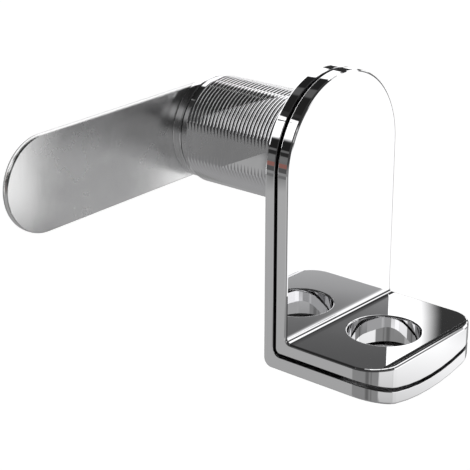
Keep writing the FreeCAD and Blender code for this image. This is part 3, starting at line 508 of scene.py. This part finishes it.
def makeTurningHasp():
    s = haspSizes
    bm = buildHasp(s["faceFront"], s["faceBack"], lambda x: s["shelfTop"], lambda x: concentricArc(x, 0.0),
                   s["insideFillet"], s["bend"], True)
    roundRims(bm, s["faceBack"])
    bm = cutWith(bm, shackleCutter(s["shelfTop"], s["underMid"]))
    bm = cutWith(bm, rod(s["hubRadius"], s["faceBack"] - s["hubOverlap"], s["hubEnd"]), "UNION")

    # these faces get the darker satin plate: painted shade in the gap
    def covered(face):  # its back and underside, which lie against the other hasp
        below = face.normal.z < -0.6 and face.calc_center_median().y < s["faceBack"]
        return below or face.normal.y > 0.9

    return finishPiece(bm, "turningHasp", haspChrome, "turning_side", "turning_hasp", s["sharpAngle"],
                       covered, gapShadePlate)


def makeFixedHasp():
    s = haspSizes
    bm = buildHasp(s["backFront"], s["backBack"], lambda x: concentricArc(x, s["gap"]),
                   lambda x: concentricArc(x, s["underMid"] - s["fixedMid"]),
                   s["bend"] + s["gap"], s["fixedBend"], False)
    roundRims(bm, s["backFront"])
    bm = cutWith(bm, shackleCutter(s["underMid"] - s["fixedRimDrop"], s["fixedMid"]))
    bm = cutWith(bm, rod(s["headRadius"], s["backFront"] - 1, s["backFront"] + s["headDepth"]))
    bm = cutWith(bm, trimSides(rod(s["stemRadius"], s["backFront"] - 1, s["backBack"] + 1), s["stemFlat"]))

    # these faces get the darker satin plate: painted shade in the gap
    def covered(face):  # its front and the top of its shelf, which lie against the other hasp
        middle = face.calc_center_median()
        above = face.normal.z > 0.6 and middle.z < s["shelfTop"]
        return above or (face.normal.y < -0.9 and middle.y > s["backFront"] - 0.1)

    return finishPiece(bm, "fixedHasp", haspChrome, "door_side", "fixed_hasp", s["sharpAngle"],
                       covered, gapShadePlate)


makeTurningHasp()
makeFixedHasp()


# the threaded barrel

barrelLow, barrelHigh = nodeBox("threaded_barrel")
barrelSizes = {
    "threadRadius": 9.0, "pitch": 0.7, "turnSteps": 96,
    "crestRadius": 0.15, "crestSteps": 8, "flankLean": 61.0, "rootHalf": 0.02,
    "headRadius": barrelHigh.x, "headFront": barrelLow.y, "headBack": -1.0,
    "threadEnd": 21.0, "noseRadius": 8.6, "noseEnd": barrelHigh.y, "noseRound": 0.2, "noseSteps": 128,
    "flat": 8.4, "hubBore": 7.06, "spindleBore": 5.06, "boreStep": 8.0,
}


def threadedStem():
    # one pitch of the thread's profile, wound round the axis, trimmed to length and flattened at both sides
    s = barrelSizes
    pitch = s["pitch"]
    slope = math.radians(s["flankLean"])
    flank = pitch / 2 - s["crestRadius"] * math.sin(slope) - s["rootHalf"]
    root = s["threadRadius"] - s["crestRadius"] * (1 - math.cos(slope)) - flank * math.tan(slope)
    profile = [(0.0, root), (s["rootHalf"] / pitch, root)]
    for i in range(s["crestSteps"] + 1):  # the rolled crest as an arc between the two flanks
        lean = math.radians(s["flankLean"] * (2 * i / s["crestSteps"] - 1))
        profile.append((0.5 + s["crestRadius"] * math.sin(lean) / pitch,
                        s["threadRadius"] - s["crestRadius"] * (1 - math.cos(lean))))
    profile.append((1.0 - s["rootHalf"] / pitch, root))
    profile.append((1.0, root))
    begin = s["headBack"] - 1.5 * pitch
    turns = math.ceil((s["threadEnd"] - begin) / pitch) + 1
    bm = bmesh.new()
    verts = [bm.verts.new((radius, begin + share * pitch, 0.0)) for share, radius in profile]
    edges = [bm.edges.new((verts[i], verts[i + 1])) for i in range(len(verts) - 1)]
    bmesh.ops.spin(bm, geom=verts + edges, cent=(0, 0, 0), axis=(0, 1, 0), angle=2 * math.pi,
                   steps=s["turnSteps"], dvec=(0, pitch / s["turnSteps"], 0), use_merge=False,
                   use_duplicate=False)
    turn = allParts(bm)
    for i in range(1, turns):
        copied = bmesh.ops.duplicate(bm, geom=turn)
        moved = [item for item in copied["geom"] if isinstance(item, bmesh.types.BMVert)]
        bmesh.ops.translate(bm, verts=moved, vec=(0, i * pitch, 0))
    bmesh.ops.remove_doubles(bm, verts=bm.verts[:], dist=1e-4)
    for place, outward in ((s["headBack"], -1), (s["threadEnd"], 1)):
        sliceAt(bm, allParts(bm), (0, place, 0), (0, outward, 0), trim=True)
        ends = [edge for edge in openEdges(bm) if sameY(edge.verts, place, 1e-4)]
        bmesh.ops.holes_fill(bm, edges=ends, sides=0)
    return trimSides(bm, s["flat"])


def circleLoop(bm, radius, along, steps=96):
    # loop of edges about the barrel's axis
    upright = Matrix.Translation((0, along, 0)) @ Matrix.Rotation(math.pi / 2, 4, "X")
    made = bmesh.ops.create_circle(bm, segments=steps, radius=radius, matrix=upright)
    return list(dict.fromkeys(edge for vert in made["verts"] for edge in vert.link_edges))


def boreStem(bm):
    # opens both ends of the stem and leads the stepped bearing bore through it
    s = barrelSizes
    loops = []
    for place, radius in ((s["headBack"], s["hubBore"]), (s["threadEnd"], s["spindleBore"])):
        caps = [face for face in bm.faces if sameY(face.verts, place, 1e-4)]
        outline = [edge for face in caps for edge in face.edges]
        outline = [edge for edge in outline if outline.count(edge) == 1]
        bmesh.ops.delete(bm, geom=caps, context="FACES_ONLY")
        loop = circleLoop(bm, radius, place)
        bmesh.ops.triangle_fill(bm, edges=outline + loop, use_beauty=True, use_dissolve=False)
        loops.append(loop)
    wide = circleLoop(bm, s["hubBore"], s["boreStep"])
    narrow = circleLoop(bm, s["spindleBore"], s["boreStep"])
    for near, far in ((loops[0], wide), (wide, narrow), (narrow, loops[1])):
        bmesh.ops.bridge_loops(bm, edges=near + far)
    return bm


def addTo(bm, other):
    # takes another shape's mesh over into bm
    mesh = bpy.data.meshes.new("holder")
    other.to_mesh(mesh)
    other.free()
    bm.from_mesh(mesh)
    bpy.data.meshes.remove(mesh)
    return bm


def makeBarrel():
    # flanged head, threaded stem and plain nose set end to end
    s = barrelSizes
    bm = boreStem(threadedStem())
    head = lathe([(s["headFront"], s["hubBore"]), (s["headFront"], s["headRadius"]),
                  (s["headBack"], s["headRadius"]), (s["headBack"], s["hubBore"])])
    nose = lathe([(s["threadEnd"], s["spindleBore"]), (s["threadEnd"], s["noseRadius"]),
                  (s["noseEnd"] - s["noseRound"], s["noseRadius"]),
                  (s["noseEnd"], s["noseRadius"] - s["noseRound"]),
                  (s["noseEnd"], s["spindleBore"])], s["noseSteps"])
    for part in (head, nose):
        addTo(bm, part)
    return finishPiece(bm, "threadedBarrel", barrelChrome, "door_side", "threaded_barrel")


makeBarrel()


# cam, washers and screw at the far end

stopLow, stopHigh = nodeBox("stop_washer")
camLow, camHigh = nodeBox("locking_cam")
flatLow, flatHigh = nodeBox("cam_washer")
splitLow, splitHigh = nodeBox("lock_washer")
screwLow, screwHigh = nodeBox("cam_screw")
endSizes = {
    "squareHalf": 3.55, "stopSteps": 128, "stopRound": 0.2, "stopRoundSteps": 4,
    "camSteps": 96, "camDroop": 1.45, "camRound": 0.2, "camRoundSteps": 3, "camRoll": 0.7, "camRollSteps": 6,
    "washerHole": 2.65, "washerRound": 0.15, "washerRoundSteps": 3,
    "splitGap": 12.0, "splitRise": 0.25, "splitTurn": 55.0, "splitSteps": 90,
    "screwShank": 2.5, "shankOverlap": 0.5, "shankSteps": 64, "headThick": 3.5, "headFlats": 8.0,
    "headChamfer": 0.45, "headFaceInset": 0.1, "headRound": 0.12, "headRoundSteps": 2,
    "headSharpAngle": 28.0,
}


def squareCutter(half, start, end, past=1.0):
    # square rod along Y that stands past both ends
    start -= past
    end += past
    bm = bmesh.new()
    bmesh.ops.create_cube(bm, size=1.0)
    bmesh.ops.scale(bm, vec=(2 * half, end - start, 2 * half), verts=bm.verts[:])
    bmesh.ops.translate(bm, verts=bm.verts[:], vec=(0, (start + end) / 2, 0))
    return bm


def makeStopWasher():
    s = endSizes
    bm = rod(stopHigh.x, stopLow.y, stopHigh.y, s["stopSteps"])
    roundEdges(bm, sharpEdges(bm), s["stopRound"], s["stopRoundSteps"])
    bm = cutWith(bm, squareCutter(s["squareHalf"], stopLow.y, stopHigh.y))
    return finishPiece(bm, "stopWasher", barrelChrome, "turning_side", "stop_washer")


def makeCam():
    # flat bar with full-round ends: two half circles joined by straight edges, pulled to its thickness
    s = endSizes
    half = camHigh.z
    reach = -camLow.x - half
    bm = bmesh.new()
    for centre, start in ((0.0, -half), (-reach, half)):
        first = bm.verts.new((centre, camLow.y, start))
        bmesh.ops.spin(bm, geom=[first], cent=(centre, camLow.y, 0), axis=(0, -1, 0), angle=math.pi,
                       steps=s["camSteps"] // 2, use_merge=False, use_duplicate=False)
    loose = [vert for vert in bm.verts if len(vert.link_edges) == 1]
    for height in (-half, half):
        pair = [vert for vert in loose if abs(vert.co.z - height) < 1e-4]
        bm.edges.new(pair)
    bmesh.ops.edgeloop_fill(bm, edges=bm.edges[:])
    pulled = bmesh.ops.extrude_face_region(bm, geom=bm.faces[:], use_keep_orig=True)
    far = [item for item in pulled["geom"] if isinstance(item, bmesh.types.BMVert)]
    bmesh.ops.translate(bm, verts=far, vec=(0, camHigh.y - camLow.y, 0))
    bmesh.ops.recalc_face_normals(bm, faces=bm.faces[:])
    # the punched blank: a small radius in front, a wide roll at the back
    rims = sharpEdges(bm)
    back = [edge for edge in rims if sameY(edge.verts, camHigh.y)]
    front = [edge for edge in rims if edge not in back]
    roundEdges(bm, back, s["camRoll"], s["camRollSteps"])
    roundEdges(bm, front, s["camRound"], s["camRoundSteps"])
    bm = cutWith(bm, squareCutter(s["squareHalf"], camLow.y, camHigh.y))
    # the play of its square lets the cam's tip hang a little
    bmesh.ops.rotate(bm, verts=bm.verts[:], cent=(0, 0, 0),
                     matrix=Matrix.Rotation(-math.radians(s["camDroop"]), 3, "Y"))

    def rolled(face):  # the dull roll round its back
        return 0.05 < face.normal.y < 0.95

    return finishPiece(bm, "lockingCam", camSteel, "turning_side", "locking_cam", picked=rolled,
                       pickedMaterial=camRollSteel)


def makeFlatWasher():
    s = endSizes
    bm = lathe([(flatLow.y, s["washerHole"]), (flatLow.y, flatHigh.x), (flatHigh.y, flatHigh.x),
                (flatHigh.y, s["washerHole"])])
    roundEdges(bm, sharpEdges(bm), s["washerRound"], s["washerRoundSteps"])
    return finishPiece(bm, "camWasher", washerSteel, "turning_side", "cam_washer")


def makeSplitWasher():
    # a square section wound almost once round, its ends slightly out of line
    s = endSizes
    thick = splitHigh.y - splitLow.y - s["splitRise"]
    outer = splitHigh.x
    bm = bmesh.new()
    corners = [(s["washerHole"], splitLow.y), (outer, splitLow.y), (outer, splitLow.y + thick),
               (s["washerHole"], splitLow.y + thick)]
    verts = [bm.verts.new((radius, along, 0.0)) for radius, along in corners]
    bm.faces.new(verts)
    bmesh.ops.bevel(bm, geom=verts, offset=s["washerRound"], offset_type="OFFSET",
                    segments=s["washerRoundSteps"], profile=0.5, affect="VERTICES", material=-1)
    bmesh.ops.rotate(bm, verts=bm.verts[:], cent=(0, 0, 0),
                     matrix=Matrix.Rotation(math.radians(s["splitTurn"]), 3, "Y"))
    bmesh.ops.spin(bm, geom=allParts(bm), cent=(0, 0, 0), axis=(0, 1, 0),
                   angle=math.radians(360.0 - s["splitGap"]), steps=s["splitSteps"],
                   dvec=(0, s["splitRise"] / s["splitSteps"], 0), use_merge=False, use_duplicate=False)
    return finishPiece(bm, "lockWasher", washerSteel, "turning_side", "lock_washer")


def makeScrew():
    # hexagon head with a corner pointing along X, its end chamfered by a turned envelope, and the shank
    s = endSizes
    corner = s["headFlats"] / 2 / math.cos(math.radians(30))
    headFront = screwHigh.y - s["headThick"]
    bm = rod(corner, headFront, screwHigh.y, 6)
    bm.verts.ensure_lookup_table()
    angle = math.atan2(bm.verts[0].co.z, bm.verts[0].co.x)
    bmesh.ops.rotate(bm, verts=bm.verts[:], cent=(0, 0, 0), matrix=Matrix.Rotation(angle, 3, "Y"))
    bmesh.ops.recalc_face_normals(bm, faces=bm.faces[:])
    shoulder = screwHigh.y - s["headChamfer"]
    envelope = lathe([(headFront - 1, 0.0), (headFront - 1, corner + 1), (shoulder, corner + 1),
                      (shoulder, corner + 0.02), (screwHigh.y, s["headFlats"] / 2 - s["headFaceInset"]),
                      (screwHigh.y, 0.0)], ring=False)
    bm = cutWith(bm, envelope, "INTERSECT")
    roundEdges(bm, sharpEdges(bm, 50), s["headRound"], s["headRoundSteps"])
    shank = rod(s["screwShank"], screwLow.y, headFront + s["shankOverlap"], s["shankSteps"])
    bm = cutWith(bm, shank, "UNION")
    return finishPiece(bm, "camScrew", screwSteel, "turning_side", "cam_screw", s["headSharpAngle"])


makeStopWasher()
makeCam()
makeFlatWasher()
makeSplitWasher()
makeScrew()


# floor, light and camera

stageSizes = {"floorDrop": 0.12, "floorHalf": 3.0, "floorLift": 0.7}


def makeFloor():
    bm = bmesh.new()
    bmesh.ops.create_grid(bm, x_segments=1, y_segments=1, size=stageSizes["floorHalf"])
    bmesh.ops.translate(bm, verts=bm.verts[:], vec=(0, 0, -stageSizes["floorDrop"]))
    mesh = bpy.data.meshes.new("studioFloor")
    bm.to_mesh(mesh)
    bm.free()
    floor = bpy.data.objects.new("studioFloor", mesh)
    scene.collection.objects.link(floor)
    material, tree, shader = newMaterial("paleFloor")
    shader.inputs["Base Color"].default_value = (0.9, 0.9, 0.9, 1.0)
    shader.inputs["Roughness"].default_value = 0.9
    # lifts the floor to white for the camera and leaves the shadow on it; the chrome shows the studio instead
    path = addNode(tree, "ShaderNodeLightPath")
    lift = addNode(tree, "ShaderNodeMath", {1: stageSizes["floorLift"]}, operation="MULTIPLY")
    tree.links.new(path.outputs["Is Camera Ray"], lift.inputs[0])
    shader.inputs["Emission Color"].default_value = (1.0, 1.0, 1.0, 1.0)
    tree.links.new(lift.outputs[0], shader.inputs["Emission Strength"])
    mesh.materials.append(material)
    floor.visible_glossy = False


# the studio round the lock, seen in its chrome: bands of (elevation in degrees, brightness) for each sector
studioBands = {
    "left": [(-90, 0.33), (-30, 0.37), (-18.8, 0.40), (-18.2, 0.15), (-15.5, 0.15), (-15, 0.24),
             (-12.5, 0.24), (-12, 0.08), (-7.5, 0.08), (-7, 0.16), (-3, 0.17), (-2.5, 0.14), (0.5, 0.16),
             (4.5, 0.15), (5, 0.022), (8.5, 0.022), (9, 0.13), (10.5, 0.13), (11, 0.014), (19.5, 0.014),
             (20.5, 0.10), (21.5, 0.5), (24, 1.25), (34, 1.25), (38, 0.05), (60, 0.03), (90, 0.05)],
    "north": [(-90, 0.33), (-30, 0.37), (-17.5, 0.38), (-14.5, 1.3), (56, 1.4), (60, 0.04), (90, 0.05)],
    "east": [(-90, 0.33), (-26, 0.30), (-23, 0.33), (-21, 0.40), (-19, 0.13), (9, 0.13), (11, 1.15),
             (17.5, 1.15), (19, 0.05), (26, 0.03), (38, 0.02), (40, 1.2), (62, 1.2), (65, 0.03), (90, 0.05)],
    "southEast": [(-90, 0.33), (-30, 0.45), (-27.5, 0.85), (-24.5, 1.0), (-22, 0.5), (-19, 0.18),
                  (9, 0.18), (11, 1.12), (22, 1.12), (26, 0.04), (38, 0.04), (40.5, 1.2), (62, 1.2),
                  (65, 0.03), (90, 0.05)],
    "south": [(-90, 0.33), (-30, 0.40), (-27.5, 0.55), (-24.5, 1.12), (17, 1.12), (19.5, 0.75),
              (21.3, 0.5), (22.3, 0.40), (23, 0.28), (23.6, 0.18), (24.3, 0.13), (25.5, 0.10), (35, 0.05),
              (40, 0.6), (62, 0.6), (65, 0.03), (90, 0.05)],
    "southWest": [(-90, 0.33), (-30, 0.40), (-27.5, 0.50), (-24.5, 1.12), (16, 1.12), (18.5, 0.03),
                  (60, 0.03), (90, 0.05)],
    "camera": [(-90, 0.30), (-50, 0.22), (-32, 0.22), (-28, 0.27), (-25.5, 0.8), (-22, 1.1), (-10, 1.1),
               (-8, 0.14), (0, 0.10), (6, 0.05), (17, 0.03), (60, 0.03), (90, 0.05)],
    "west": [(-90, 0.30), (-50, 0.22), (-32, 0.22), (-28, 0.24), (-8, 0.22), (-6, 0.14), (0, 0.05),
             (60, 0.03), (90, 0.05)],
}
# where the sectors lie over "left": azimuth of the middle, half width and softness,
# in degrees from +Y towards +X
studioSectors = [
    ("north", 4.6, 54.1, 0.6), ("east", 77.0, 19.5, 0.6), ("southEast", 109.5, 13.0, 0.5),
    ("south", 127.0, 5.5, 0.7), ("southWest", 141.0, 9.0, 0.7), ("camera", 179.0, 29.5, 4.0),
    ("west", -103.5, 47.5, 1.0),
]
# dark hood in the north sector, above the slanting plane that this normal stands on
studioHood = {"normal": (0.0, -0.740, 0.672), "edge": 0.005, "azimuth": (0.25, 49.75, 0.6),
              "elevation": (45.5, 18.5, 1.0), "brightness": 0.016}
# single panels: azimuth, half width, softness, elevation, half height, softness, brightness or colour
studioPanels = [
    (-112.0, 6.0, 4.0, -31.0, 8.0, 1.0, 0.13),
    (-126.0, 2.5, 1.5, -31.0, 8.0, 1.0, 0.17),
    (-74.0, 18.0, 1.5, -19.0, 4.5, 1.0, 0.45),
    (-137.5, 13.0, 1.0, 24.5, 9.0, 1.0, 0.42),
    (-55.0, 8.0, 1.0, -5.0, 2.2, 0.3, (0.24, 0.11, 0.095)),
    (-41.5, 3.5, 0.3, 26.0, 5.0, 0.3, 0.06),
    (-38.5, 2.5, 0.3, 35.2, 3.2, 0.3, 0.06),
    (-29.0, 7.0, 0.3, 40.5, 5.0, 0.3, 0.03),
    (-45.0, 5.5, 0.5, -11.5, 5.8, 0.5, 0.18),
    (-43.5, 6.0, 0.5, 3.7, 9.8, 0.5, 0.045),
    (-41.0, 4.0, 0.5, 9.0, 10.0, 1.0, (0.10, 0.075, 0.065)),
    (-47.3, 2.2, 0.3, 17.2, 3.7, 0.5, 0.33),
    (-49.7, 1.0, 0.2, -18.8, 1.3, 0.2, 0.37),
    (44.0, 6.5, 0.5, -12.0, 5.5, 1.0, 0.24),
    (44.0, 6.5, 0.5, -21.0, 3.5, 0.8, 0.48),
    (27.5, 17.5, 1.0, -4.5, 8.5, 1.0, 0.06),
    (54.5, 2.5, 0.3, 12.5, 8.0, 0.5, 0.03),
    (9.0, 10.0, 3.0, 53.3, 1.5, 0.5, 0.10),
    (89.5, 17.5, 0.5, 30.0, 7.5, 1.0, 1.2),
    (138.0, 3.0, 0.5, 27.5, 3.5, 0.5, 1.2),
]


def makeWorld():
    world = bpy.data.worlds.new("studio")
    scene.world = world
    world.use_nodes = True
    tree = world.node_tree
    background = tree.nodes["Background"]
    place = addNode(tree, "ShaderNodeTexCoord")
    parts = addNode(tree, "ShaderNodeSeparateXYZ")
    tree.links.new(place.outputs["Generated"], parts.inputs["Vector"])

    def maths(operation, *entries):
        node = addNode(tree, "ShaderNodeMath", operation=operation)
        for i, entry in enumerate(entries):
            if isinstance(entry, (int, float)):
                node.inputs[i].default_value = entry
            else:
                tree.links.new(entry, node.inputs[i])
        return node.outputs[0]

    def within(angle, middle, half, soft):  # 1 inside the span of angles, 0 outside
        away = maths("ABSOLUTE", maths("WRAP", maths("SUBTRACT", angle, middle), 180.0, -180.0))
        span = {"From Min": half - soft, "From Max": half + soft, "To Min": 1.0, "To Max": 0.0}
        edge = addNode(tree, "ShaderNodeMapRange", span, interpolation_type="SMOOTHSTEP")
        tree.links.new(away, edge.inputs["Value"])
        return edge.outputs["Result"]

    def beyond(normal, soft):  # 1 on the side of the plane that normal points to, 0 on the other
        dot = addNode(tree, "ShaderNodeVectorMath", {1: normal}, operation="DOT_PRODUCT")
        tree.links.new(place.outputs["Generated"], dot.inputs[0])
        edge = addNode(tree, "ShaderNodeMapRange", {"From Min": -soft, "From Max": soft},
                       interpolation_type="SMOOTHSTEP")
        tree.links.new(dot.outputs["Value"], edge.inputs["Value"])
        return edge.outputs["Result"]

    def blend(mask, under, over):  # over is a brightness, a colour or another socket
        mix = addNode(tree, "ShaderNodeMixRGB")
        tree.links.new(mask, mix.inputs["Fac"])
        tree.links.new(under, mix.inputs["Color1"])
        if isinstance(over, float):
            over = (over, over, over)
        if isinstance(over, tuple):
            mix.inputs["Color2"].default_value = (*over, 1.0)
        else:
            tree.links.new(over, mix.inputs["Color2"])
        return mix.outputs["Color"]

    def bands(name):
        ramp = addNode(tree, "ShaderNodeValToRGB")
        tree.links.new(share, ramp.inputs["Fac"])
        elements = ramp.color_ramp.elements
        elements.remove(elements[-1])
        for i, (height, grey) in enumerate(studioBands[name]):
            element = elements[0] if i == 0 else elements.new(1.0)
            element.position = (height + 90.0) / 180.0
            element.color = (grey, grey, grey, 1.0)
        return ramp.outputs["Color"]

    azimuth = maths("MULTIPLY", maths("ARCTAN2", parts.outputs["X"], parts.outputs["Y"]), math.degrees(1.0))
    elevation = maths("MULTIPLY", maths("ARCSINE", parts.outputs["Z"]), math.degrees(1.0))
    share = maths("MULTIPLY_ADD", elevation, 1.0 / 180.0, 0.5)
    colour = bands("left")
    for name, middle, half, soft in studioSectors:
        colour = blend(within(azimuth, middle, half, soft), colour, bands(name))
    hood = studioHood
    sides = maths("MULTIPLY", beyond(hood["normal"], hood["edge"]), within(azimuth, *hood["azimuth"]))
    mask = maths("MULTIPLY", sides, within(elevation, *hood["elevation"]))
    colour = blend(mask, colour, hood["brightness"])
    for middle, half, soft, height, rise, fade, tone in studioPanels:
        mask = maths("MULTIPLY", within(azimuth, middle, half, soft), within(elevation, height, rise, fade))
        colour = blend(mask, colour, tone)
    path = addNode(tree, "ShaderNodeLightPath")
    colour = blend(path.outputs["Is Camera Ray"], colour, 1.0)
    tree.links.new(colour, background.inputs["Color"])
    background.inputs["Strength"].default_value = 1.0


# the camera that the photo's outline was fitted with: millimetres of lens, metres and degrees
viewSizes = {"sensor": 36.0, "lens": 114.36, "nearest": 0.01, "place": (-0.17995, -0.13594, 0.07102),
             "down": 20.642, "towardsX": 49.465}


def makeCamera():
    s = viewSizes
    camera = bpy.data.objects.new("viewCamera", bpy.data.cameras.new("viewCamera"))
    scene.collection.objects.link(camera)
    camera.data.sensor_width = s["sensor"]
    camera.data.lens = s["lens"]
    camera.data.clip_start = s["nearest"]
    camera.location = s["place"]
    camera.rotation_euler = (math.radians(90 - s["down"]), 0.0, -math.radians(s["towardsX"]))
    scene.camera = camera


makeFloor()
makeWorld()
makeCamera()
print("stage made")
